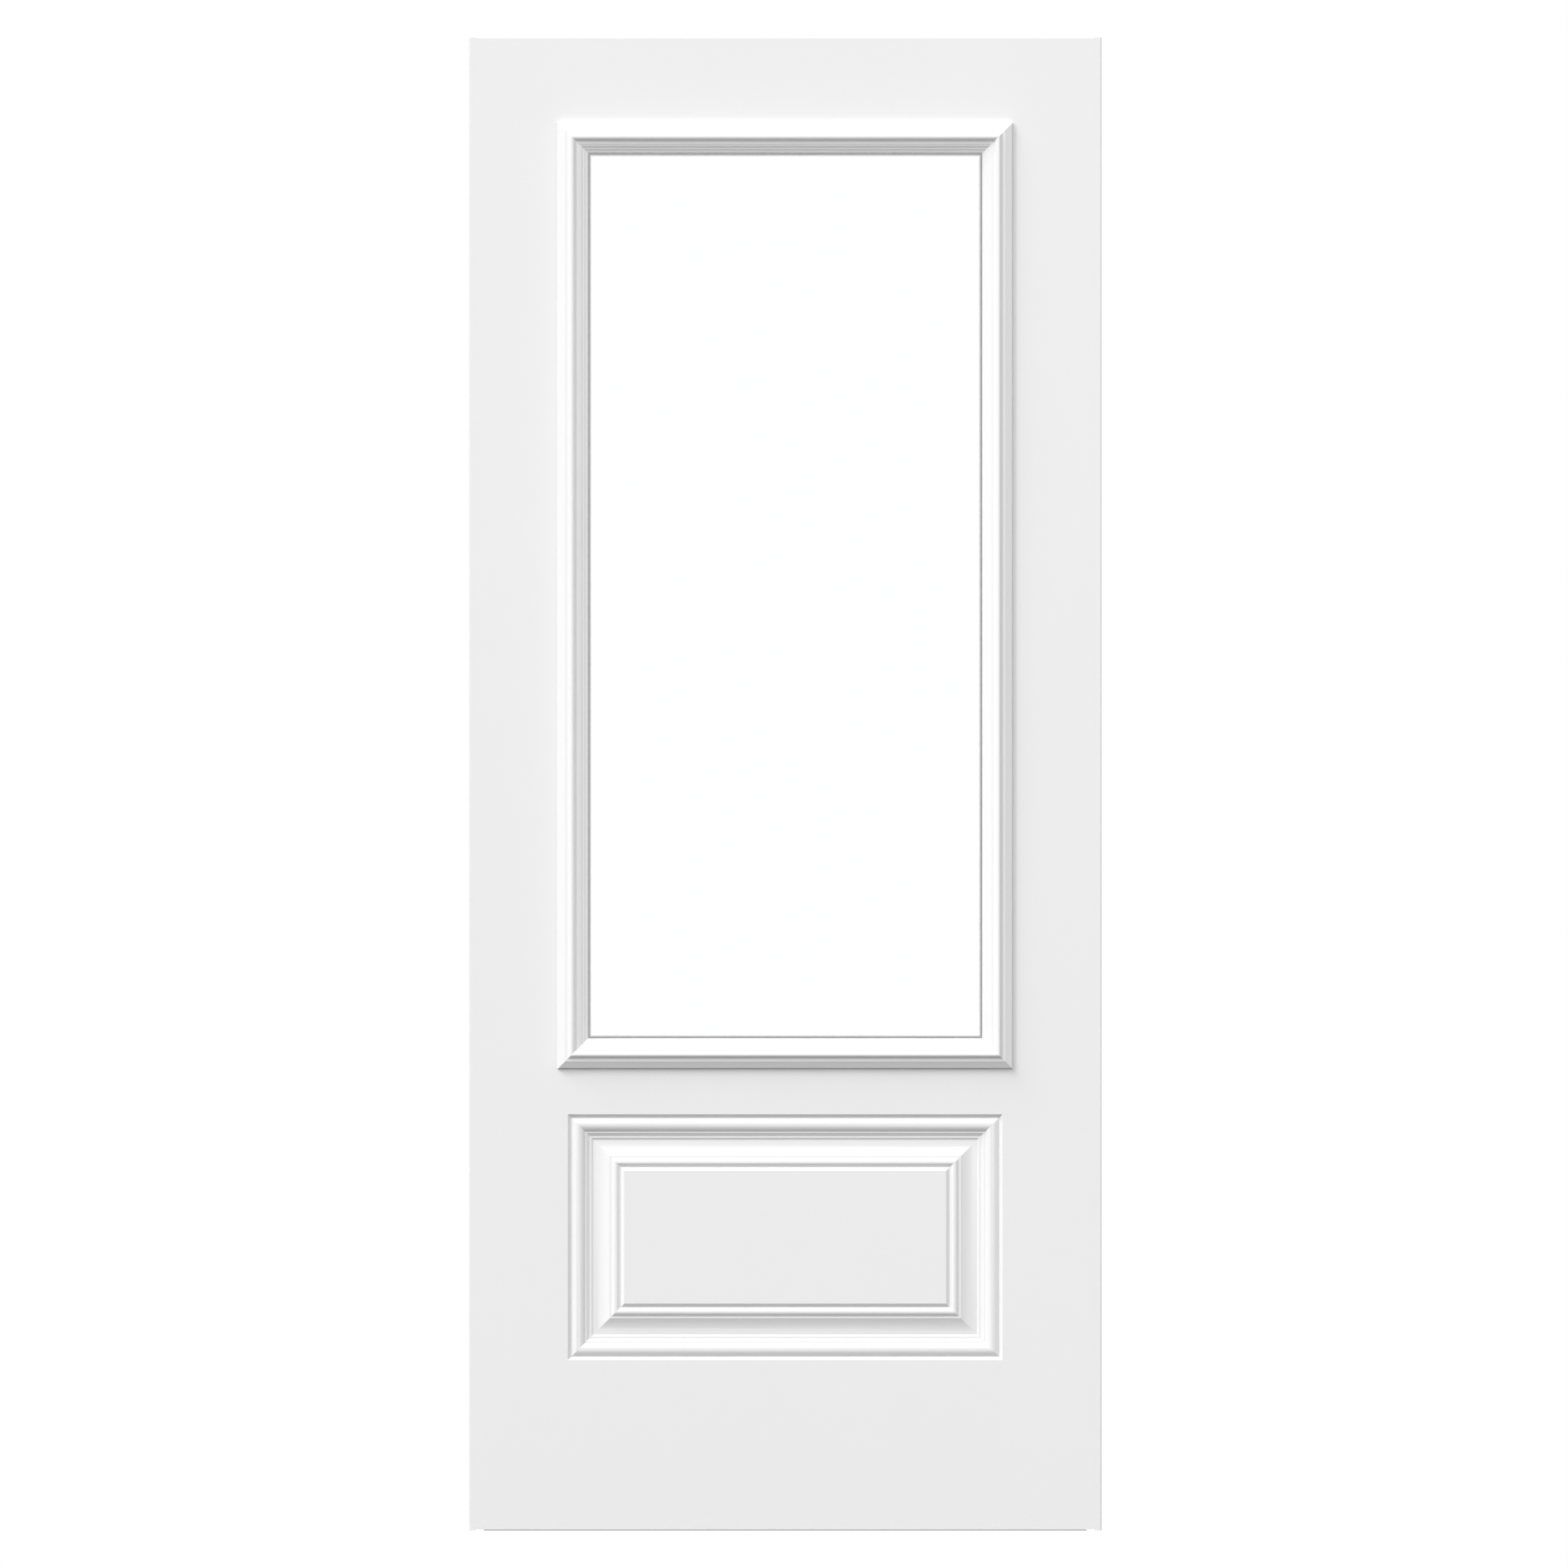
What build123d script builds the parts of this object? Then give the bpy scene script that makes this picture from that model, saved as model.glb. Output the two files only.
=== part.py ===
from build123d import *
import os

# A bare entrance door slab: steel skins over a timber edge and a foam core, with a three-quarter
# light in raised mouldings above one pressed panel. +X runs from the hinge edge to the lock edge,
# -Y faces outdoors and +Z is up. The origin is on the hinge edge, halfway through the door's
# thickness, at its foot. All sizes are in millimetres.
os.makedirs("parts", exist_ok=True)

# The slab
door_width = 850
door_height = 2006
door_thickness = 44.5
skin_thickness = 0.7
bend_radius = 1.5
return_depth = 13
corner_tab = 9
end_return_inset = 20
stile_width = 28
top_rail_height = 38
bottom_rail_height = 45
kerf_width = 3.2
kerf_depth = 13
kerf_spacing = 11

# How the door's face is set out: a taller door has a taller light
head_margin = 114
light_to_panel = 61
panel_foot_height = 229
panel_width = 584
panel_height = 330

# The light: a sealed unit of two panes in an opening cut through the slab
glass_width = 559
pane_thickness = 3.2
unit_thickness = 25.4
glass_clearance = 12.7
seal_width = 10
spacer_width = 9.8
block_length = 60
block_gap = 0.3

# The pressed panel's section: distance in from its outer edge, height out from the door's face
panel_edge = (0, 0)
panel_groove = (4.2, -3.9)
outer_roll_start = (4.9, -3.8)
outer_roll_top = (14.1, -0.2)
outer_roll_foot = (23.1, -4.4)
first_step_top = (24.9, -4.4)
first_step_foot = (28.9, -6.8)
second_step_top = (31.6, -6.8)
cove_foot = (34.1, -8.2)
cove_top = (56.0, -3.1)
inner_roll_heel = (58.2, -3.1)
inner_roll_start = (60.0, -2.4)
inner_roll_top = (64.6, -0.4)
inner_roll_foot = (68.2, -1.75)
inner_groove = (71.1, -2.8)
field_edge = (75.6, 0)

# The light's moulding, in the same terms: its face from the outer edge to the lip by the glass
moulding_overlap = 13.8
edge_lip_foot = (0, 4.0)
edge_lip_top = (1.5, 5.5)
slope_top = (9.2, 9.0)
ledge_start = (9.9, 9.6)
bead_start = (12.0, 9.85)
bead_rise = (15.8, 11.9)
bead_top = (19.3, 13.95)
bead_turn = (23.0, 11.9)
bead_foot = (27.0, 9.8)
lip_start = (28.7, 9.55)
lip_first_step = (30.1, 8.9)
lip_first_level = (32.0, 8.5)
lip_second_step = (33.6, 7.2)
lip_second_level = (36.2, 6.5)
lip_third_step = (37.6, 5.4)
lip_third_level = (40.2, 4.7)
lip_end = (41.0, 4.1)

# The moulding's hidden side: a hollow back, a fin into the opening and a foot on the glass
wall = 2.4
hollow_start = 4.0
fin_distance = 15
fin_width = 2.2
fin_reach = 10
foot_width = 10
tape_thickness = 1.5

# The caps over the screws that draw the two sets of mouldings together
plug_radius = 4
plug_height = 3.6
plug_stand = 0.5
plug_chamfer = 0.4
plug_pitch = 265
plug_end_distance = 95

half_thickness = door_thickness / 2
inner_face = half_thickness - skin_thickness
return_edge = half_thickness - return_depth
inner_bend_radius = bend_radius - skin_thickness
opening_width = glass_width + 2 * glass_clearance
moulding_width = opening_width + 2 * moulding_overlap
moulding_height = door_height - head_margin - light_to_panel - panel_height - panel_foot_height
opening_height = moulding_height - 2 * moulding_overlap
glass_height = opening_height - 2 * glass_clearance
light_centre_height = door_height - head_margin - moulding_height / 2
panel_centre_height = panel_foot_height + panel_height / 2
centre_x = door_width / 2
glass_face = unit_thickness / 2
glass_depth = half_thickness - glass_face
outdoors = Plane(origin=(0, -half_thickness, 0), x_dir=(1, 0, 0), z_dir=(0, -1, 0))
light_centre = (centre_x, light_centre_height)
panel_centre = (centre_x, panel_centre_height)


def save(piece, name):
    """Name a finished piece and write it to its own file."""
    piece.part.label = name
    export_step(piece.part, f"parts/{name}.step")


def frame_path(centre, width, height):
    """A rectangle on the outdoor face, begun halfway along its lower side so that each corner mitres."""
    x, z = centre
    left, right, low, high = x - width / 2, x + width / 2, z - height / 2, z + height / 2
    corners = [(x, low), (right, low), (right, high), (left, high), (left, low), (x, low)]
    with BuildLine() as path:
        Polyline([(a, -half_thickness, b) for a, b in corners])
    return path.line


def lower_section_plane(centre, height):
    """The plane of a frame's section at the middle of its lower side: x inwards (up), y outdoors."""
    x, z = centre
    return Plane(origin=(x, -half_thickness, z - height / 2), x_dir=(0, 0, 1), z_dir=(1, 0, 0))


def roll(flat_end, other_end):
    """An arc that lies level at its first end, as a roll does at its top and a cove at its foot."""
    TangentArc(flat_end, other_end, tangent=(other_end[0] - flat_end[0], 0))


def pressed_line(sink):
    """The pressed panel's line in section, sunk by a depth."""

    def at(point):
        return point[0], point[1] - sink

    Polyline(at(panel_edge), at(panel_groove), at(outer_roll_start))
    roll(at(outer_roll_top), at(outer_roll_start))
    roll(at(outer_roll_top), at(outer_roll_foot))
    steps = [outer_roll_foot, first_step_top, first_step_foot, second_step_top, cove_foot]
    Polyline([at(p) for p in steps])
    roll(at(cove_foot), at(cove_top))
    Polyline(at(cove_top), at(inner_roll_heel), at(inner_roll_start))
    roll(at(inner_roll_top), at(inner_roll_start))
    roll(at(inner_roll_top), at(inner_roll_foot))
    Polyline(at(inner_roll_foot), at(inner_groove), at(field_edge))


def pressed_section():
    """The pressed panel in section: its line in front, and the same line a sheet's thickness behind."""
    with BuildSketch(lower_section_plane(panel_centre, panel_height)) as section:
        with BuildLine():
            pressed_line(0)
            pressed_line(skin_thickness)
            for edge in (panel_edge, field_edge):
                Line(edge, (edge[0], edge[1] - skin_thickness))
        make_face()
    return section.sketch


def dent_section():
    """The space that the pressed panel takes out of the core behind a flat skin."""
    with BuildSketch(lower_section_plane(panel_centre, panel_height)) as section:
        with BuildLine():
            pressed_line(skin_thickness)
            Line((panel_edge[0], -skin_thickness), (field_edge[0], -skin_thickness))
        make_face()
    return section.sketch


def moulding_section(plane):
    """The light's moulding in section: a thin wall behind its face, a fin and a foot on the glass."""
    foot_level = tape_thickness - glass_depth
    lip_width = lip_end[0]
    lip_steps = [lip_start, lip_first_step, lip_first_level, lip_second_step, lip_second_level]
    lip_steps += [lip_third_step, lip_third_level, lip_end]
    with BuildSketch(plane) as section:
        with BuildLine():
            Polyline((0, 0), edge_lip_foot, edge_lip_top, slope_top, ledge_start, bead_start)
            roll(bead_start, bead_rise)
            roll(bead_top, bead_rise)
            roll(bead_top, bead_turn)
            roll(bead_foot, bead_turn)
            line = [bead_foot, *lip_steps]
            line += [(lip_width, foot_level), (lip_width - foot_width, foot_level)]
            line += [(lip_width - foot_width, foot_level + wall), (lip_width - wall, foot_level + wall)]
            line += [(lip_width - wall, lip_third_level[1] - wall)]
            line += [(x, y - wall) for x, y in (lip_first_level, bead_turn, bead_top, bead_start)]
            Polyline([*line, (hollow_start, 0), (0, 0)])
        make_face()
        fin_top = (bead_start[1] + bead_rise[1]) / 2
        with Locations((fin_distance, -fin_reach)):
            Rectangle(fin_width, fin_reach + fin_top, align=(Align.MIN, Align.MIN))
    return section.sketch


def gasket_section():
    """The tape between the moulding's foot and the glass, flush with the lip."""
    with BuildSketch(lower_section_plane(light_centre, moulding_height)) as section:
        with Locations((lip_end[0], -glass_depth)):
            Rectangle(foot_width, tape_thickness, align=(Align.MAX, Align.MIN))
    return section.sketch


panel_path = frame_path(panel_centre, panel_width, panel_height)
light_path = frame_path(light_centre, moulding_width, moulding_height)

# The outdoor skin: pressed sheet with side returns, end returns between corner notches, the
# light's opening and the pressed panel
with BuildPart() as exterior_skin:
    with BuildSketch(Plane.XY):
        with BuildLine():
            FilletPolyline(
                (0, -return_edge),
                (0, -half_thickness),
                (door_width, -half_thickness),
                (door_width, -return_edge),
                radius=bend_radius,
            )
            offset(amount=skin_thickness, side=Side.LEFT)
        make_face()
    extrude(amount=door_height)
    with BuildSketch(outdoors) as cuts:
        with Locations(light_centre):
            Rectangle(opening_width, opening_height)
        with Locations(panel_centre):
            Rectangle(panel_width, panel_height)
            Rectangle(
                panel_width - 2 * field_edge[0], panel_height - 2 * field_edge[0], mode=Mode.SUBTRACT
            )
        notch_width = door_width - 2 * corner_tab
        with Locations((centre_x, bend_radius / 2), (centre_x, door_height - bend_radius / 2)):
            Rectangle(notch_width, bend_radius)
    extrude(amount=-bend_radius, mode=Mode.SUBTRACT)
    sweep(pressed_section(), panel_path, transition=Transition.RIGHT)
    with BuildSketch(Plane.YZ.offset(centre_x)):
        with BuildLine():
            FilletPolyline(
                (-half_thickness, 2 * bend_radius),
                (-half_thickness, 0),
                (-return_edge, 0),
                radius=bend_radius,
            )
            offset(amount=skin_thickness, side=Side.LEFT)
        make_face()
        mirror(about=Plane.XZ.offset(-door_height / 2))
    extrude(amount=centre_x - end_return_inset, both=True)
save(exterior_skin, "exterior_skin")

with BuildPart() as interior_skin:
    mirror(exterior_skin.part, about=Plane.XZ)
save(interior_skin, "interior_skin")


def rebated_section(plane, depth):
    """A timber member's section, rebated where the skins' returns lie over its outer edge."""
    with BuildSketch(plane) as section:
        with Locations((skin_thickness, 0)):
            body = Rectangle(depth - skin_thickness, 2 * inner_face, align=(Align.MIN, Align.CENTER))
        fillet(body.vertices().group_by(Axis.X)[0], inner_bend_radius)
        Rectangle(depth, 2 * return_edge, align=(Align.MIN, Align.CENTER))
    return section.sketch


# The timber stiles run the full height; their ends are let in under the skins' end returns and
# cut back behind the skins' corner notches
with BuildPart() as hinge_stile:
    extrude(rebated_section(Plane.XY, stile_width), amount=door_height)
    with BuildSketch(Plane.XY) as ends:
        with Locations((end_return_inset, return_edge), (end_return_inset, -half_thickness)):
            Rectangle(stile_width, return_depth, align=(Align.MIN, Align.MIN))
        with Locations((corner_tab, 0)):
            Rectangle(end_return_inset - corner_tab, door_thickness, align=(Align.MIN, Align.CENTER))
    extrude(amount=bend_radius, mode=Mode.SUBTRACT)
    extrude(ends.sketch.moved(Location((0, 0, door_height))), amount=-bend_radius, mode=Mode.SUBTRACT)
save(hinge_stile, "hinge_stile")

with BuildPart() as lock_stile:
    mirror(hinge_stile.part, about=Plane.YZ.offset(centre_x))
save(lock_stile, "lock_stile")

rail_length = door_width - 2 * stile_width
top_plane = Plane(origin=(centre_x, 0, door_height), x_dir=(0, 0, -1), z_dir=(1, 0, 0))
bottom_plane = Plane(origin=(centre_x, 0, 0), x_dir=(0, 0, 1), z_dir=(1, 0, 0))

with BuildPart() as top_rail:
    extrude(rebated_section(top_plane, top_rail_height), amount=rail_length / 2, both=True)
save(top_rail, "top_rail")

# The bottom rail has the two kerfs that take a sweep's barbed fins
with BuildPart() as bottom_rail:
    extrude(rebated_section(bottom_plane, bottom_rail_height), amount=rail_length / 2, both=True)
    with BuildSketch(Plane.XY) as kerfs:
        with Locations((centre_x, -kerf_spacing / 2), (centre_x, kerf_spacing / 2)):
            Rectangle(rail_length, kerf_width)
    extrude(amount=kerf_depth, mode=Mode.SUBTRACT)
save(bottom_rail, "bottom_rail")

# What the pressed panels take out of the core; a working shape that isn't written out
with BuildPart() as panel_dents:
    sweep(dent_section(), panel_path, transition=Transition.RIGHT)
    mirror(about=Plane.XZ)

# The core fills the slab between the timbers, round the light's opening and behind the pressed panels
with BuildPart() as foam_core:
    with BuildSketch(Plane.XZ) as outline:
        with Locations((stile_width, bottom_rail_height)):
            core_height = door_height - bottom_rail_height - top_rail_height
            Rectangle(rail_length, core_height, align=(Align.MIN, Align.MIN))
        with Locations(light_centre):
            Rectangle(opening_width, opening_height, mode=Mode.SUBTRACT)
    extrude(amount=inner_face, both=True)
    add(panel_dents.part, mode=Mode.SUBTRACT)
save(foam_core, "foam_core")


def bar_plane(inwards, distance):
    """The section plane at the middle of one side of the outdoor moulding frame."""
    outwards = Vector(0, -1, 0)
    centre = Vector(centre_x, -half_thickness, light_centre_height)
    return Plane(origin=centre - inwards * distance, x_dir=inwards, z_dir=inwards.cross(outwards))


# Each of the light's four outdoor mouldings is one length, mitred at both ends
half_width, half_height = moulding_width / 2, moulding_height / 2
sides = {
    "head": (Vector(0, 0, -1), half_height, half_width),
    "sill": (Vector(0, 0, 1), half_height, half_width),
    "hinge_side": (Vector(1, 0, 0), half_width, half_height),
    "lock_side": (Vector(-1, 0, 0), half_width, half_height),
}
all_screws = []
for side, (inwards, distance, half_length) in sides.items():
    plane = bar_plane(inwards, distance)
    with BuildPart() as exterior_moulding:
        extrude(moulding_section(plane), amount=half_length, both=True)
        for along in (plane.z_dir, -plane.z_dir):
            mitre = Plane(origin=plane.origin + along * half_length, z_dir=along + inwards)
            split(bisect_by=mitre, keep=Keep.BOTTOM)
    save(exterior_moulding, f"exterior_{side}_moulding")

    # The indoor moulding is its twin, bored for the screws that draw the pair together
    screw_row = plane.origin + inwards * bead_top[0]
    screw_row = Vector(screw_row.X, half_thickness, screw_row.Z)
    reach = half_length - plug_end_distance
    gaps = round(2 * reach / plug_pitch)
    screws = [screw_row + plane.z_dir * reach * (2 * i / gaps - 1) for i in range(gaps + 1)]
    all_screws += screws
    with BuildPart() as interior_moulding:
        mirror(exterior_moulding.part, about=Plane.XZ)
        with Locations([Plane(origin=p, z_dir=(0, 1, 0)) for p in screws]):
            Cylinder(plug_radius, 2 * bead_top[1], mode=Mode.SUBTRACT)
    save(interior_moulding, f"interior_{side}_moulding")


# The sealed unit: two panes round a bar and an outer seal, stood on two blocks in the opening
def unit_ring(name, outer_inset, inner_inset, depth):
    """A flat ring round the sealed unit, between two distances in from its edge."""
    with BuildPart() as ring:
        with BuildSketch(Plane.XZ):
            with Locations(light_centre):
                Rectangle(glass_width - 2 * outer_inset, glass_height - 2 * outer_inset)
                Rectangle(
                    glass_width - 2 * inner_inset, glass_height - 2 * inner_inset, mode=Mode.SUBTRACT
                )
        extrude(amount=depth / 2, both=True)
    save(ring, name)


pane_gap = unit_thickness - 2 * pane_thickness
unit_ring("edge_seal", 0, seal_width, pane_gap)
unit_ring("spacer_frame", seal_width, seal_width + spacer_width, pane_gap)

with BuildPart() as outer_pane:
    with BuildSketch(Plane.XZ.offset(glass_face)):
        with Locations(light_centre):
            Rectangle(glass_width, glass_height)
    extrude(amount=-pane_thickness)
save(outer_pane, "outer_pane")

with BuildPart() as inner_pane:
    mirror(outer_pane.part, about=Plane.XZ)
save(inner_pane, "inner_pane")

with BuildPart() as setting_blocks:
    block_depth = 2 * (half_thickness - fin_reach) - 2 * block_gap
    opening_foot = light_centre_height - opening_height / 2
    with Locations(
        (centre_x - glass_width / 4, 0, opening_foot), (centre_x + glass_width / 4, 0, opening_foot)
    ):
        Box(block_length, block_depth, glass_clearance, align=(Align.CENTER, Align.CENTER, Align.MIN))
save(setting_blocks, "setting_blocks")

with BuildPart() as exterior_gasket:
    sweep(gasket_section(), light_path, transition=Transition.RIGHT)
save(exterior_gasket, "exterior_gasket")

with BuildPart() as interior_gasket:
    mirror(exterior_gasket.part, about=Plane.XZ)
save(interior_gasket, "interior_gasket")

# Push-in caps hide the screws in the indoor mouldings
with BuildPart() as screw_plugs:
    plug_top = half_thickness + bead_top[1] + plug_stand
    with Locations([Plane(origin=(p.X, plug_top, p.Z), z_dir=(0, -1, 0)) for p in all_screws]):
        Cylinder(plug_radius, plug_height, align=(Align.CENTER, Align.CENTER, Align.MIN))
    chamfer(screw_plugs.faces().group_by(Axis.Y)[-1].edges(), plug_chamfer)
save(screw_plugs, "screw_plugs")
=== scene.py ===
import math

import bpy
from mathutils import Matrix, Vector


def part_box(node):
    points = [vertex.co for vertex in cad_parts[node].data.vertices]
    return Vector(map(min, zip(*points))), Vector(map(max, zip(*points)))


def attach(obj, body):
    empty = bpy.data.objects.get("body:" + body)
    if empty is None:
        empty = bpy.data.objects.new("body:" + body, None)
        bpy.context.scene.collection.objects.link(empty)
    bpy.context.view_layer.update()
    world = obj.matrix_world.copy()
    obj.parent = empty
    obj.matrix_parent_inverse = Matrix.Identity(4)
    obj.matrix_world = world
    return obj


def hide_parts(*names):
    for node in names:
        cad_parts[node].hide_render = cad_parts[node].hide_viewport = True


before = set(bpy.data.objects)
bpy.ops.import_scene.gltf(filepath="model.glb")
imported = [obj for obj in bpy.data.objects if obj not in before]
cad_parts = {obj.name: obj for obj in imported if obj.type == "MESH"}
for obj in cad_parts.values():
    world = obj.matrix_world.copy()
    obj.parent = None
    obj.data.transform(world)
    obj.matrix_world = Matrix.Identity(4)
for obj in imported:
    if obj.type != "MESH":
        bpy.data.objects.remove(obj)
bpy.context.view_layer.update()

# The two skins
# Each face of the door is one sheet of galvanised steel, stamped with the raised and fielded panel,
# punched for the light, folded back along its edges and painted a satin white.
skin_low, skin_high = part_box("exterior_skin")
pane_low, pane_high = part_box("outer_pane")
door_middle = (skin_low.x + skin_high.x) / 2
outdoor_face, indoor_face = skin_low.y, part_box("interior_skin")[1].y
return_depth = skin_high.y - skin_low.y
sheet = 0.0007
bend_radius, head_bend_radius = 0.0015, 0.0008
bend_segments = 6
crease_width, crease_segments = 0.00022, 2
smooth_angle = math.radians(18)
arc_step = math.radians(6)
quarter_turn = math.pi / 2

# Points closer together than this are taken as one place
near = 1e-5

# Where the sheet is cut: the light's opening, the panel, and a notch in the returns by each corner
glass_clearance = 0.0127
opening_left, opening_right = pane_low.x - glass_clearance, pane_high.x + glass_clearance
opening_foot, opening_head = pane_low.z - glass_clearance, pane_high.z + glass_clearance
panel_width, panel_height = 0.584, 0.330
panel_left, panel_right = door_middle - panel_width / 2, door_middle + panel_width / 2
panel_foot = 0.229
panel_head = panel_foot + panel_height
corner_tab, end_return_inset = 0.009, 0.020
left_notch = (skin_low.x + corner_tab, skin_low.x + end_return_inset)
right_notch = (skin_high.x - end_return_inset, skin_high.x - corner_tab)
foot_band, head_band = skin_low.z + bend_radius, skin_high.z - head_bend_radius

# The pressed section: distance in from the panel's edge, and height out from the door's face
panel_edge, panel_groove = (0, 0), (0.0042, -0.0039)
outer_roll_start, outer_roll_top = (0.0049, -0.0038), (0.0141, -0.0002)
outer_roll_foot = (0.0231, -0.0044)
first_step_top, first_step_foot = (0.0249, -0.0044), (0.0289, -0.0068)
second_step_top = (0.0316, -0.0068)
cove_foot, cove_top = (0.0341, -0.0082), (0.0560, -0.0031)
inner_roll_heel, inner_roll_start = (0.0582, -0.0031), (0.0600, -0.0024)
inner_roll_top, inner_roll_foot = (0.0646, -0.0004), (0.0682, -0.00175)
inner_groove, field_edge = (0.0711, -0.0028), (0.0756, 0)


def roll(level_end, other_end):
    """Points of an arc that lies level at its first end, in order from that end."""
    across, rise = other_end[0] - level_end[0], other_end[1] - level_end[1]
    radius = (across ** 2 + rise ** 2) / (2 * abs(rise))
    turn = math.asin(min(1, abs(across) / radius))
    count = max(2, math.ceil(turn / arc_step))
    turns = [turn * i / count for i in range(count + 1)]
    return [
        (
            level_end[0] + math.copysign(radius * math.sin(t), across),
            level_end[1] + math.copysign(radius * (1 - math.cos(t)), rise),
        )
        for t in turns
    ]


pressed_section = [
    panel_edge,
    panel_groove,
    *roll(outer_roll_top, outer_roll_start)[::-1],
    *roll(outer_roll_top, outer_roll_foot)[1:],
    first_step_top,
    first_step_foot,
    second_step_top,
    *roll(cove_foot, cove_top),
    inner_roll_heel,
    *roll(inner_roll_top, inner_roll_start)[::-1],
    *roll(inner_roll_top, inner_roll_foot)[1:],
    inner_groove,
    field_edge,
]


def start_piece(name):
    """Name the primitive just added and put its place into its mesh."""
    piece = bpy.context.object
    piece.name = piece.data.name = name
    bpy.ops.object.transform_apply(location=True, rotation=True, scale=True)
    return piece


def pick_faces(piece, test):
    """Select, in edit mode, only the faces whose middle passes the test."""
    bpy.ops.object.mode_set(mode="OBJECT")
    for part in (piece.data.vertices, piece.data.edges):
        part.foreach_set("select", [False] * len(part))
    for face in piece.data.polygons:
        face.select = test(face.center)
    bpy.ops.object.mode_set(mode="EDIT")
    bpy.ops.mesh.select_mode(type="FACE")


def pick_edges(piece, test):
    """Select, in edit mode, only the edges whose two ends both pass the test."""
    bpy.ops.object.mode_set(mode="OBJECT")
    mesh = piece.data
    for part in (mesh.vertices, mesh.polygons):
        part.foreach_set("select", [False] * len(part))
    for edge in mesh.edges:
        edge.select = all(test(mesh.vertices[v].co) for v in edge.vertices)
    bpy.ops.object.mode_set(mode="EDIT")
    bpy.ops.mesh.select_mode(type="EDGE")


def take_up(piece):
    """Leave edit mode and make one piece the only one selected."""
    if bpy.context.object and bpy.context.object.mode == "EDIT":
        bpy.ops.object.mode_set(mode="OBJECT")
    bpy.ops.object.select_all(action="DESELECT")
    piece.select_set(True)
    bpy.context.view_layer.objects.active = piece


def shape_with(piece, kind, **settings):
    """Add one modifier with its settings and apply it."""
    take_up(piece)
    modifier = piece.modifiers.new(kind, kind)
    for key, value in settings.items():
        setattr(modifier, key, value)
    bpy.ops.object.modifier_apply(modifier=modifier.name)


def soften_creases(piece):
    """Round every sharp line a hair, as pressed or moulded lines are."""
    shape_with(
        piece,
        "BEVEL",
        width=crease_width,
        segments=crease_segments,
        limit_method="ANGLE",
        angle_limit=smooth_angle,
    )


def keep_flats_flat(piece):
    """Smooth the gentle angles, and let the large faces set the shading, so that only the bends
    look bent."""
    take_up(piece)
    bpy.ops.object.shade_smooth_by_angle(angle=smooth_angle)
    shape_with(piece, "WEIGHTED_NORMAL", keep_sharp=True)


def mark_out(skin, face_y):
    """Cut the sheet into bands, and each band where its own hole, panel or notches come."""
    bpy.ops.object.mode_set(mode="EDIT")
    for level in (foot_band, panel_foot, panel_head, opening_foot, opening_head, head_band):
        bpy.ops.mesh.select_all(action="SELECT")
        bpy.ops.mesh.bisect(plane_co=(0, face_y, level), plane_no=(0, 0, 1))
    for low, high, lines in (
        (panel_foot, panel_head, (panel_left, panel_right)),
        (opening_foot, opening_head, (opening_left, opening_right)),
        (skin_low.z, foot_band, left_notch + right_notch),
        (head_band, skin_high.z, left_notch + right_notch),
    ):
        for line in lines:
            pick_faces(skin, lambda c: low < c.z < high)
            bpy.ops.mesh.bisect(plane_co=(line, face_y, 0), plane_no=(1, 0, 0))


def stamp_panel(skin):
    """Press the panel in, ring by ring, down its section."""
    pick_faces(
        skin, lambda c: panel_foot < c.z < panel_head and panel_left < c.x < panel_right
    )
    for (before, level), (after, next_level) in zip(pressed_section, pressed_section[1:]):
        bpy.ops.mesh.inset(thickness=after - before, depth=next_level - level)


def punch_holes(skin):
    """Punch out the light and the notches by the corners."""
    pick_faces(
        skin,
        lambda c: opening_foot < c.z < opening_head and opening_left < c.x < opening_right,
    )
    bpy.ops.mesh.delete(type="FACE")
    for left, right in (left_notch, right_notch):
        pick_faces(skin, lambda c: left < c.x < right and not foot_band < c.z < head_band)
        bpy.ops.mesh.delete(type="FACE")


def on_side(co):
    return min(abs(co.x - skin_low.x), abs(co.x - skin_high.x)) < near


def between_notches(co):
    return left_notch[1] - near < co.x < right_notch[0] + near


def on_foot(co):
    return between_notches(co) and abs(co.z - skin_low.z) < near


def on_head(co):
    return between_notches(co) and abs(co.z - skin_high.z) < near


def fold_returns(skin, face_y, outwards):
    """Fold back the long edges, the foot and the head, and then round the bends."""
    folds = ((on_side, bend_radius), (on_foot, bend_radius), (on_head, head_bend_radius))
    inwards = {"value": (0, -outwards * return_depth, 0)}
    for on_fold, _ in folds:
        pick_edges(skin, lambda co: on_fold(co) and abs(co.y - face_y) < near)
        bpy.ops.mesh.extrude_region_move(TRANSFORM_OT_translate=inwards)
    for on_fold, radius in folds:
        pick_edges(skin, lambda co: on_fold(co) and abs(co.y - face_y) < near)
        bpy.ops.mesh.bevel(offset=radius, segments=bend_segments, affect="EDGES")
    bpy.ops.mesh.select_all(action="SELECT")
    bpy.ops.mesh.remove_doubles(threshold=near)


def press_skin(name, face_y, outwards):
    """One skin from one sheet; outwards is the way along Y that its face looks."""
    bpy.ops.object.select_all(action="DESELECT")
    bpy.ops.mesh.primitive_plane_add(
        size=1,
        location=(door_middle, face_y, (skin_low.z + skin_high.z) / 2),
        rotation=(-outwards * quarter_turn, 0, 0),
    )
    bpy.context.object.scale = (skin_high.x - skin_low.x, skin_high.z - skin_low.z, 1)
    skin = start_piece(name)
    mark_out(skin, face_y)
    stamp_panel(skin)
    punch_holes(skin)
    fold_returns(skin, face_y, outwards)
    soften_creases(skin)
    shape_with(skin, "SOLIDIFY", thickness=sheet, offset=-1)
    keep_flats_flat(skin)
    return skin


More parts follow.
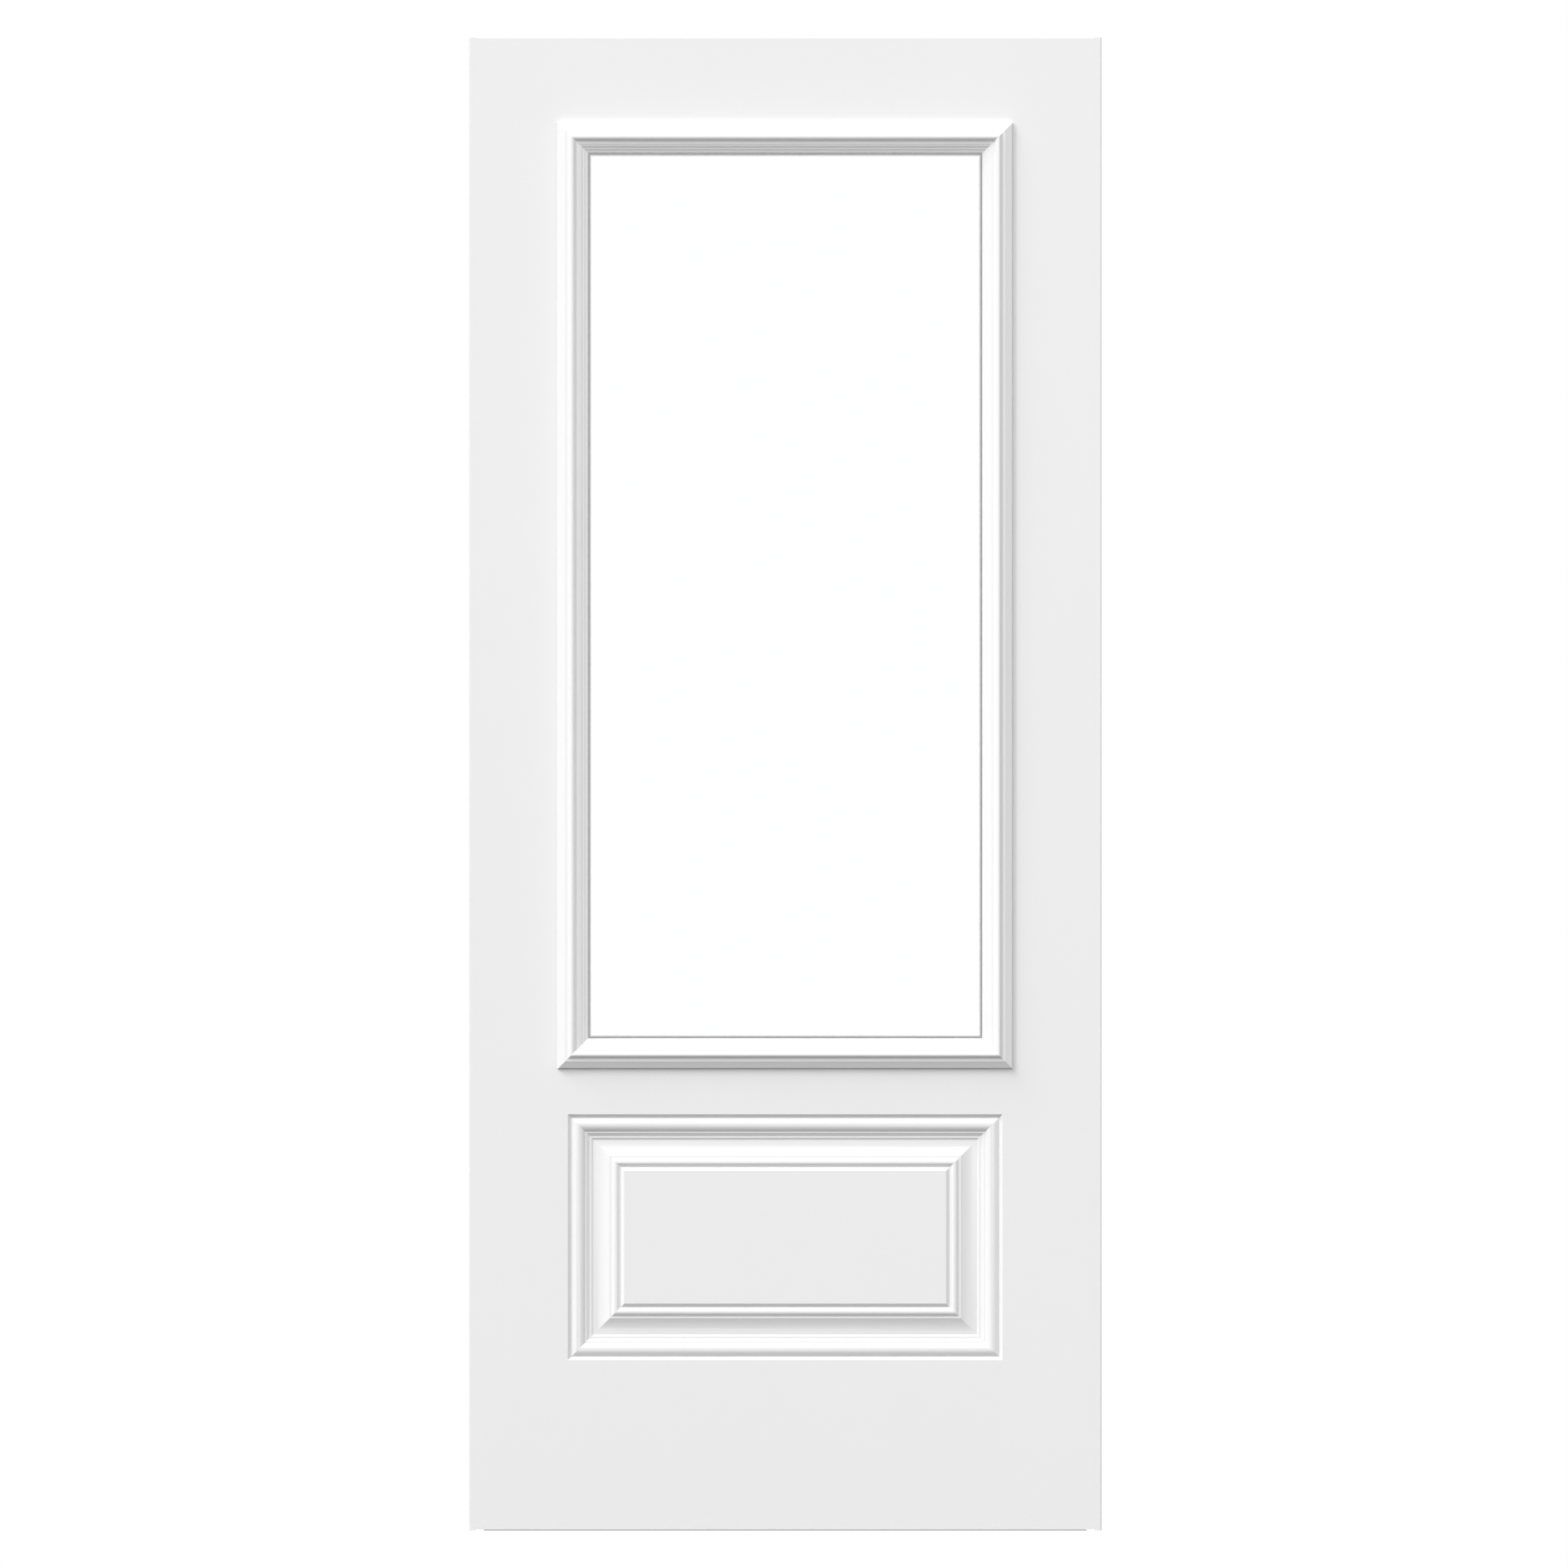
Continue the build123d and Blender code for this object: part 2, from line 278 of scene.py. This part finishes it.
def new_material(name):
    """A material, its shader, and the Object coordinates that its patterns lie on."""
    material = bpy.data.materials.new(name)
    material.use_nodes = True
    nodes = material.node_tree.nodes
    return material, nodes["Principled BSDF"], nodes.new("ShaderNodeTexCoord").outputs["Object"]


def fill(material, socket, value):
    """Give a socket a fixed value, or link another node's output to it."""
    if isinstance(value, bpy.types.NodeSocket):
        material.node_tree.links.new(value, socket)
    else:
        socket.default_value = value


def feed(material, node, **inputs):
    """Fill a node's inputs by name, with _ for a space."""
    for name, value in inputs.items():
        fill(material, node.inputs[name.replace("_", " ")], value)


def add_node(material, kind, settings=None, **inputs):
    """A new node of one kind, with its settings made and its inputs filled."""
    node = material.node_tree.nodes.new(kind)
    for key, value in (settings or {}).items():
        setattr(node, key, value)
    feed(material, node, **inputs)
    return node


def mottle(material, place, **settings):
    """An uneven pattern of soft spots, from 0 to 1."""
    return add_node(material, "ShaderNodeTexNoise", Vector=place, **settings).outputs["Fac"]


def vary(material, pattern, low, high):
    """A number that follows a pattern between two levels."""
    spread = add_node(
        material, "ShaderNodeMapRange", Value=pattern, To_Min=low, To_Max=high
    )
    return spread.outputs["Result"]


def tint(material, pattern, first, second):
    """A colour that follows a pattern from one shade to another."""
    mix = add_node(
        material, "ShaderNodeMix", {"data_type": "RGBA"}, Factor=pattern, A=first, B=second
    )
    return mix.outputs["Result"]


def emboss(material, pattern, strength, distance):
    """A fine relief that follows a pattern."""
    bump = add_node(
        material, "ShaderNodeBump", Strength=strength, Distance=distance, Height=pattern
    )
    return bump.outputs["Normal"]


paint_white, paint_shade = (0.80, 0.80, 0.80, 1), (0.785, 0.785, 0.785, 1)
satin_paint, paint_shader, at = new_material("satin_white_paint")
cloudiness = mottle(satin_paint, at, Scale=5.0, Detail=3.0, Roughness=0.6)
orange_peel = mottle(satin_paint, at, Scale=330.0, Detail=2.0, Roughness=0.5)
feed(
    satin_paint,
    paint_shader,
    Base_Color=tint(satin_paint, cloudiness, paint_white, paint_shade),
    Roughness=vary(satin_paint, cloudiness, low=0.42, high=0.50),
    IOR=1.45,
    Normal=emboss(satin_paint, orange_peel, strength=0.10, distance=0.0003),
)

for node_name, face_y, outwards in (
    ("exterior_skin", outdoor_face, -1),
    ("interior_skin", indoor_face, 1),
):
    skin = press_skin(f"pressed_{node_name}", face_y, outwards)
    skin.data.materials.append(satin_paint)
    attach(skin, "root")
    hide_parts(node_name)

# The light's mouldings
# Eight lengths of thin-walled white moulding, mitred into a frame on each face; their lips press
# the glass unit from both sides, and each hides the raw edge of the opening.
moulding_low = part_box("exterior_hinge_side_moulding")[0]
moulding_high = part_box("exterior_lock_side_moulding")[1]
moulding_middle = (moulding_low.z + moulding_high.z) / 2
half_width = (moulding_high.x - moulding_low.x) / 2
half_height = (moulding_high.z - moulding_low.z) / 2
wall = 0.0024
hollow_start = 0.004
foot_width = 0.010
tape_thickness = 0.0015
foot_level = tape_thickness - (pane_low.y - outdoor_face)

# The moulding's section: distance in from its outer edge, and height out from the door's face
edge_lip_foot, edge_lip_top = (0, 0.0008), (0.0015, 0.0055)
slope_top, ledge_start, bead_start = (0.0092, 0.0090), (0.0099, 0.0096), (0.0120, 0.00985)
bead_rise, bead_top, bead_turn = (0.0158, 0.0119), (0.0191, 0.01395), (0.0236, 0.0115)
bead_foot = (0.0283, 0.0093)
lip_steps = [
    (0.0287, 0.0092),
    (0.0301, 0.0084),
    (0.0320, 0.0079),
    (0.0336, 0.0066),
    (0.0362, 0.0058),
    (0.0376, 0.0047),
    (0.0402, 0.0039),
    (0.0410, 0.0033),
]
lip_width = lip_steps[-1][0]
fin_outer_root, fin_inner_root = (0.0150, 0.0091), (0.0172, 0.0104)
fin_tip = -0.010


def behind(point):
    """The point on the hollow side of the wall, behind one on the face."""
    return point[0], point[1] - wall


moulding_section = [
    (0, 0),
    edge_lip_foot,
    edge_lip_top,
    slope_top,
    ledge_start,
    *roll(bead_start, bead_rise),
    *roll(bead_top, bead_rise)[::-1][1:],
    *roll(bead_top, bead_turn)[1:],
    *roll(bead_foot, bead_turn)[::-1][1:],
    *lip_steps,
    (lip_width, foot_level),
    (lip_width - foot_width, foot_level),
    (lip_width - foot_width, foot_level + wall),
    (lip_width - wall, foot_level + wall),
    (lip_width - wall, lip_steps[-2][1] - wall),
    behind(lip_steps[2]),
    behind(bead_turn),
    behind(bead_top),
    fin_inner_root,
    (fin_inner_root[0], fin_tip),
    (fin_outer_root[0], fin_tip),
    fin_outer_root,
    behind(bead_start),
    (hollow_start, 0),
]


def mitred_moulding(name, middle, inwards, along, outwards, half_length):
    """One length: its section drawn out along the side, then cut off at both mitres."""
    bpy.ops.object.select_all(action="DESELECT")
    bpy.ops.mesh.primitive_circle_add(
        vertices=len(moulding_section), radius=lip_width, fill_type="NGON"
    )
    bar = start_piece(name)
    for vertex, (across, height) in zip(bar.data.vertices, moulding_section):
        vertex.co = middle + inwards * across + outwards * height - along * half_length
    bpy.ops.object.mode_set(mode="EDIT")
    bpy.ops.mesh.select_all(action="SELECT")
    bpy.ops.mesh.extrude_region_move(TRANSFORM_OT_translate={"value": along * 2 * half_length})
    bpy.ops.mesh.select_all(action="SELECT")
    bpy.ops.mesh.normals_make_consistent(inside=False)
    soften_creases(bar)
    bpy.ops.object.mode_set(mode="EDIT")
    for way in (along, -along):
        bpy.ops.mesh.select_all(action="SELECT")
        bpy.ops.mesh.bisect(
            plane_co=middle + way * half_length,
            plane_no=way + inwards,
            use_fill=True,
            clear_outer=True,
        )
    take_up(bar)
    return bar


moulding_plastic, plastic_shader, at = new_material("white_moulding")
plastic_cloud = mottle(moulding_plastic, at, Scale=9.0, Detail=2.0)
plastic_grain = mottle(moulding_plastic, at, Scale=900.0, Detail=1.0)
feed(
    moulding_plastic,
    plastic_shader,
    Base_Color=tint(moulding_plastic, plastic_cloud, paint_white, paint_shade),
    Roughness=vary(moulding_plastic, plastic_cloud, low=0.36, high=0.44),
    IOR=1.48,
    Normal=emboss(moulding_plastic, plastic_grain, strength=0.06, distance=0.0001),
)

# Screws go through the indoor mouldings, at an even pitch between their end ones
cap_radius, cap_sides = 0.004, 32
cap_end_distance, cap_pitch = 0.095, 0.265


def bore_for_screws(bar, places):
    """Bore a bar right through its face at each place."""
    bpy.ops.object.select_all(action="DESELECT")
    for place in places:
        bpy.ops.mesh.primitive_cylinder_add(
            vertices=cap_sides,
            radius=cap_radius,
            depth=2 * bead_top[1],
            location=place,
            rotation=(quarter_turn, 0, 0),
        )
        drill = start_piece("drill")
        shape_with(bar, "BOOLEAN", object=drill, operation="DIFFERENCE", solver="EXACT")
        bpy.data.objects.remove(drill)


# Each side: which way is inwards, which way it runs, how far out it lies, and half its length
sides = {
    "head": (Vector((0, 0, -1)), Vector((1, 0, 0)), half_height, half_width),
    "sill": (Vector((0, 0, 1)), Vector((1, 0, 0)), half_height, half_width),
    "hinge_side": (Vector((1, 0, 0)), Vector((0, 0, 1)), half_width, half_height),
    "lock_side": (Vector((-1, 0, 0)), Vector((0, 0, 1)), half_width, half_height),
}
cap_places = []
for face, face_y, outwards in (("exterior", outdoor_face, -1), ("interior", indoor_face, 1)):
    for side, (inwards, along, distance, half_length) in sides.items():
        node_name = f"{face}_{side}_moulding"
        middle = Vector((door_middle, face_y, moulding_middle)) - inwards * distance
        bar = mitred_moulding(
            f"mitred_{node_name}", middle, inwards, along, Vector((0, outwards, 0)), half_length
        )
        if face == "interior":
            reach = half_length - cap_end_distance
            gaps = round(2 * reach / cap_pitch)
            row = middle + inwards * bead_top[0]
            places = [row + along * reach * (2 * i / gaps - 1) for i in range(gaps + 1)]
            bore_for_screws(bar, places)
            cap_places += places
        keep_flats_flat(bar)
        bar.data.materials.append(moulding_plastic)
        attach(bar, "root")
        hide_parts(node_name)

# The screw caps
# Small push-in caps of the same white plastic close the bores along the indoor mouldings; one is
# modelled, with its rim rounded, and the others are its copies.
cap_height, cap_stand = 0.0036, 0.0005
cap_rim, cap_inner_ring = 0.0004, cap_radius / 3
cap_round, cap_round_segments = 0.00036, 3
cap_top = indoor_face + bead_top[1] + cap_stand
bpy.ops.object.select_all(action="DESELECT")
bpy.ops.mesh.primitive_cylinder_add(
    vertices=cap_sides,
    radius=cap_radius,
    depth=cap_height,
    location=(0, cap_top - cap_height / 2, 0),
    rotation=(-quarter_turn, 0, 0),
)
first_cap = start_piece("push_in_caps")
pick_faces(first_cap, lambda c: abs(c.y - cap_top) < near)
for ring_width in (cap_rim, cap_inner_ring):
    bpy.ops.mesh.inset(thickness=ring_width, depth=0)
pick_edges(
    first_cap,
    lambda co: abs(co.y - cap_top) < near and co.xz.length > cap_radius - cap_rim / 2,
)
bpy.ops.mesh.bevel(offset=cap_round, segments=cap_round_segments, affect="EDGES")
keep_flats_flat(first_cap)
caps = [first_cap]
for place in cap_places[1:]:
    cap = first_cap.copy()
    cap.data = first_cap.data.copy()
    bpy.context.collection.objects.link(cap)
    cap.location = (place.x, 0, place.z)
    caps.append(cap)
first_cap.location = (cap_places[0].x, 0, cap_places[0].z)
take_up(first_cap)
for cap in caps:
    cap.select_set(True)
bpy.ops.object.join()
bpy.ops.object.transform_apply(location=True, rotation=True, scale=True)
first_cap.data.materials.append(moulding_plastic)
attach(first_cap, "root")
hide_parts("screw_plugs")

# The timber edge
# Planed softwood stiles and rails close the slab between the folded returns of the two skins. They
# are left bare, as supplied, with the grain along each length.
timber_pale, timber_dark = (0.66, 0.47, 0.28, 1), (0.43, 0.26, 0.12, 1)
pale_share, fleck_share = 0.35, 0.35
timber_roughness = 0.72
ring_count = 26.0
ring_spots_across, ring_spots_along = 9.0, 0.5
fibres_across, fibres_along = 900.0, 14.0


def reckon(material, operation, *values):
    """The result of a sum on one or two values, each a number or another node's output."""
    sum_node = add_node(material, "ShaderNodeMath", {"operation": operation})
    for socket, value in zip(sum_node.inputs, values):
        fill(material, socket, value)
    return sum_node.outputs["Value"]


def grade(material, amount, first, second, first_until=0):
    """A colour that goes from the first to the second as the amount goes from 0 to 1."""
    ramp = add_node(material, "ShaderNodeValToRGB", Fac=amount)
    start, end = ramp.color_ramp.elements
    start.color, end.color = first, second
    start.position = first_until
    return ramp.outputs["Color"]


def draw_out(material, place, across, along, grain_axis):
    """The place on a pattern that is drawn out along the grain."""
    scale = [across, across, across]
    scale[grain_axis] = along
    return add_node(material, "ShaderNodeMapping", Vector=place, Scale=scale).outputs["Vector"]


def softwood(name, grain_axis):
    """Bare softwood: growth rings drawn out along the grain, with fine fibres over them."""
    material, shader, at = new_material(name)
    ring_place = draw_out(material, at, ring_spots_across, ring_spots_along, grain_axis)
    wander = mottle(material, ring_place, Scale=1.2, Detail=4.0, Distortion=0.4)
    ring = reckon(material, "FRACT", reckon(material, "MULTIPLY", wander, ring_count))
    fibre_place = draw_out(material, at, fibres_across, fibres_along, grain_axis)
    fibre = add_node(material, "ShaderNodeTexNoise", Vector=fibre_place, Scale=1.0, Detail=2.0)
    flecks = add_node(
        material,
        "ShaderNodeMix",
        {"data_type": "RGBA", "blend_type": "MULTIPLY"},
        Factor=fleck_share,
        A=grade(material, ring, timber_pale, timber_dark, first_until=pale_share),
        B=fibre.outputs["Color"],
    )
    feed(
        material,
        shader,
        Base_Color=flecks.outputs["Result"],
        Roughness=timber_roughness,
        Normal=emboss(material, fibre.outputs["Fac"], strength=0.3, distance=0.0002),
    )
    return material


def finish_node(node_name, material):
    """Give a CAD node that is shown as it is its finish."""
    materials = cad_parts[node_name].data.materials
    materials.clear()
    materials.append(material)


upright_timber = softwood("softwood_upright", grain_axis=2)
level_timber = softwood("softwood_level", grain_axis=0)
for node_name in ("hinge_stile", "lock_stile"):
    finish_node(node_name, upright_timber)
for node_name in ("top_rail", "bottom_rail"):
    finish_node(node_name, level_timber)

# The core
# Rigid foam fills the slab round the light and holds the two skins together; the timber edge and
# the mouldings seal it in all over.
foam_pale, foam_dark = (0.80, 0.70, 0.42, 1), (0.62, 0.52, 0.28, 1)
foam, foam_shader, at = new_material("rigid_foam")
cells = add_node(foam, "ShaderNodeTexVoronoi", Vector=at, Scale=700.0)
foam_colour = grade(foam, cells.outputs["Distance"], foam_pale, foam_dark)
feed(foam, foam_shader, Base_Color=foam_colour, Roughness=0.95)
finish_node("foam_core", foam)

# The glass unit
# Two sheets of clear float glass stand either side of a bar, sealed round the edge, on two blocks.
# The glass lets the lamps' light straight through, so what lies behind it isn't in its shade.
glass_tint = (0.998, 1.0, 0.999, 1)
clear_glass, glass_shader, at = new_material("clear_float_glass")
feed(
    clear_glass,
    glass_shader,
    Base_Color=glass_tint,
    Roughness=0.0,
    IOR=1.5,
    Transmission_Weight=1.0,
)
ray = add_node(clear_glass, "ShaderNodeLightPath").outputs
lets_lamps_through = add_node(clear_glass, "ShaderNodeBsdfTransparent")
glass_or_clear = add_node(clear_glass, "ShaderNodeMixShader", Fac=ray["Is Shadow Ray"])
fill(clear_glass, glass_or_clear.inputs[1], glass_shader.outputs["BSDF"])
fill(clear_glass, glass_or_clear.inputs[2], lets_lamps_through.outputs["BSDF"])
glass_out = clear_glass.node_tree.nodes["Material Output"]
feed(clear_glass, glass_out, Surface=glass_or_clear.outputs["Shader"])

# The bar shows past the lips as a thin line: its outer part, next to the lips, is painted grey as
# shade, and this painted shade fades to bright metal towards its inner edge
painted_shade_grey, metal_bright = (0.36, 0.36, 0.36, 1), (0.97, 0.97, 0.97, 1)
shade_full_until, bright_from = 0.0020, 0.0050
spacer_metal, spacer_shader, at = new_material("bright_spacer")
point = add_node(spacer_metal, "ShaderNodeSeparateXYZ", Vector=at).outputs


def past_lip(axis, middle, half_span):
    """How far a point lies inside the lip along one axis, in metres."""
    offset = reckon(spacer_metal, "SUBTRACT", point[axis], middle)
    distance = reckon(spacer_metal, "ABSOLUTE", offset)
    return reckon(spacer_metal, "SUBTRACT", half_span, distance)


nearest_lip = reckon(
    spacer_metal,
    "MINIMUM",
    past_lip("X", door_middle, half_width - lip_width),
    past_lip("Z", moulding_middle, half_height - lip_width),
)
# How far the painted shade beside the lips has faded, from full grey to the bright metal
shade_fade = add_node(
    spacer_metal,
    "ShaderNodeMapRange",
    Value=nearest_lip,
    From_Min=shade_full_until,
    From_Max=bright_from,
)
scratches = mottle(spacer_metal, at, Scale=400.0, Detail=2.0)
feed(
    spacer_metal,
    spacer_shader,
    Base_Color=grade(spacer_metal, shade_fade.outputs["Result"], painted_shade_grey, metal_bright),
    Metallic=1.0,
    Roughness=vary(spacer_metal, scratches, low=0.08, high=0.14),
)


def flat_ring(name, start_y, depth, across, tall, width):
    """A flat ring round the glass, drawn out along Y from start_y, with its middle opened."""
    bpy.ops.object.select_all(action="DESELECT")
    bpy.ops.mesh.primitive_plane_add(
        size=1, location=(door_middle, start_y, moulding_middle), rotation=(quarter_turn, 0, 0)
    )
    bpy.context.object.scale = (across, tall, 1)
    ring = start_piece(name)
    bpy.ops.object.mode_set(mode="EDIT")
    bpy.ops.mesh.select_all(action="SELECT")
    bpy.ops.mesh.inset(thickness=width, depth=0)
    pick_faces(ring, lambda c: abs(c.x - door_middle) + abs(c.z - moulding_middle) < near)
    bpy.ops.mesh.delete(type="FACE")
    bpy.ops.mesh.select_all(action="SELECT")
    bpy.ops.mesh.extrude_region_move(TRANSFORM_OT_translate={"value": (0, depth, 0)})
    bpy.ops.mesh.select_all(action="SELECT")
    bpy.ops.mesh.normals_make_consistent(inside=False)
    take_up(ring)
    return ring


# The bar stands clear of both panes by a thin film of sealant
spacer_low, spacer_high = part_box("spacer_frame")
spacer_width = 0.0098
sealant_film = 0.0001
spacer = flat_ring(
    "spacer_round_unit",
    start_y=spacer_low.y + sealant_film,
    depth=spacer_high.y - spacer_low.y - 2 * sealant_film,
    across=spacer_high.x - spacer_low.x,
    tall=spacer_high.z - spacer_low.z,
    width=spacer_width,
)
soften_creases(spacer)
keep_flats_flat(spacer)
spacer.data.materials.append(spacer_metal)
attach(spacer, "root")
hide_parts("spacer_frame")

seal_black = (0.02, 0.02, 0.02, 1)
black_seal, seal_shader, at = new_material("black_unit_seal")
seal_pits = mottle(black_seal, at, Scale=300.0, Detail=2.0)
feed(
    black_seal,
    seal_shader,
    Base_Color=seal_black,
    Roughness=vary(black_seal, seal_pits, low=0.55, high=0.75),
)

for node_name in ("outer_pane", "inner_pane"):
    finish_node(node_name, clear_glass)
for node_name in ("edge_seal", "setting_blocks"):
    finish_node(node_name, black_seal)

# The glazing tape
# A grey foam tape is stuck round each pane before the mouldings go on; their feet press on it, and
# it ends flush with their lips.
tape_dark, tape_pale = (0.34, 0.34, 0.34, 1), (0.44, 0.44, 0.44, 1)
grey_tape, tape_shader, at = new_material("grey_glazing_tape")
tape_cells = mottle(grey_tape, at, Scale=600.0, Detail=2.0)
tape_colour = grade(grey_tape, tape_cells, tape_dark, tape_pale)
feed(grey_tape, tape_shader, Base_Color=tape_colour, Roughness=0.6)

for node_name, glass_y, outwards in (
    ("exterior_gasket", pane_low.y, -1),
    ("interior_gasket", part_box("inner_pane")[1].y, 1),
):
    ring = flat_ring(
        f"taped_{node_name}",
        start_y=glass_y,
        depth=outwards * tape_thickness,
        across=2 * (half_width - lip_width + foot_width),
        tall=2 * (half_height - lip_width + foot_width),
        width=foot_width,
    )
    ring.data.materials.append(grey_tape)
    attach(ring, "root")
    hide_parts(node_name)

# The studio
# A pale floor, an even white surround and four broad lamps. As in the photograph the light falls
# from the upper left, part of it grazing the face; a third lamp fills from the right, and one
# lights the back. The floor and the surround look bright but give the door little light.
floor_size = 24
floor_seen, floor_bounce = (0.80, 0.80, 0.80, 1), (0.02, 0.02, 0.02, 1)
bpy.ops.object.select_all(action="DESELECT")
bpy.ops.mesh.primitive_plane_add(size=floor_size, location=(door_middle, 0, 0))
floor = start_piece("floor")
floor_paper, floor_shader, at = new_material("floor_paper")
ray = add_node(floor_paper, "ShaderNodeLightPath").outputs
seen_or_through = reckon(
    floor_paper, "MAXIMUM", ray["Is Camera Ray"], ray["Is Transmission Ray"]
)
floor_colour = tint(floor_paper, seen_or_through, floor_bounce, floor_seen)
feed(floor_paper, floor_shader, Base_Color=floor_colour, Roughness=0.9)
floor.data.materials.append(floor_paper)

surround_level = 0.15
surround_white = (1, 1, 1, 1)
world = bpy.data.worlds.new("surround")
bpy.context.scene.world = world
world.use_nodes = True
ray = add_node(world, "ShaderNodeLightPath").outputs
seen = reckon(world, "MAXIMUM", ray["Is Camera Ray"], ray["Is Glossy Ray"])
seen_or_through = reckon(world, "MAXIMUM", seen, ray["Is Transmission Ray"])
feed(
    world,
    world.node_tree.nodes["Background"],
    Color=surround_white,
    Strength=vary(world, seen_or_through, low=surround_level, high=1.0),
)


def broad_lamp(name, to_left, upwards, face_level, spread, outwards=-1):
    """A broad even lamp, placed so far to the left and up for each metre out from the face that it
    lights; face_level is the light that it gives on that face."""
    towards = Vector((-to_left, outwards, upwards)).normalized()
    light = bpy.data.lights.new(name, "SUN")
    light.angle = math.radians(spread)
    light.energy = face_level * math.pi / abs(towards.y)
    lamp = bpy.data.objects.new(name, light)
    lamp.rotation_euler = towards.to_track_quat("Z", "Y").to_euler()
    bpy.context.collection.objects.link(lamp)


broad_lamp("upper_left_lamp", to_left=0.71, upwards=0.71, face_level=0.39, spread=60)
broad_lamp("grazing_lamp", to_left=1.9, upwards=2.43, face_level=0.23, spread=30)
broad_lamp("right_lamp", to_left=-0.71, upwards=0.33, face_level=0.34, spread=60)
broad_lamp("back_lamp", to_left=0, upwards=0.6, face_level=0.68, spread=60, outwards=1)

# The view: square on to the outdoor face, without perspective, framed as the photograph is
frame_width = 2.1072
view_shift_x = -0.0016
view_height = 1.0030
view_distance = 6
camera = bpy.data.cameras.new("camera")
camera.type = "ORTHO"
camera.ortho_scale = frame_width
camera.clip_end = 100
viewer = bpy.data.objects.new("camera", camera)
viewer.location = (door_middle + view_shift_x, -view_distance, view_height)
viewer.rotation_euler = (quarter_turn, 0, 0)
bpy.context.collection.objects.link(viewer)
bpy.context.scene.camera = viewer
bpy.context.scene.view_settings.view_transform = "Standard"
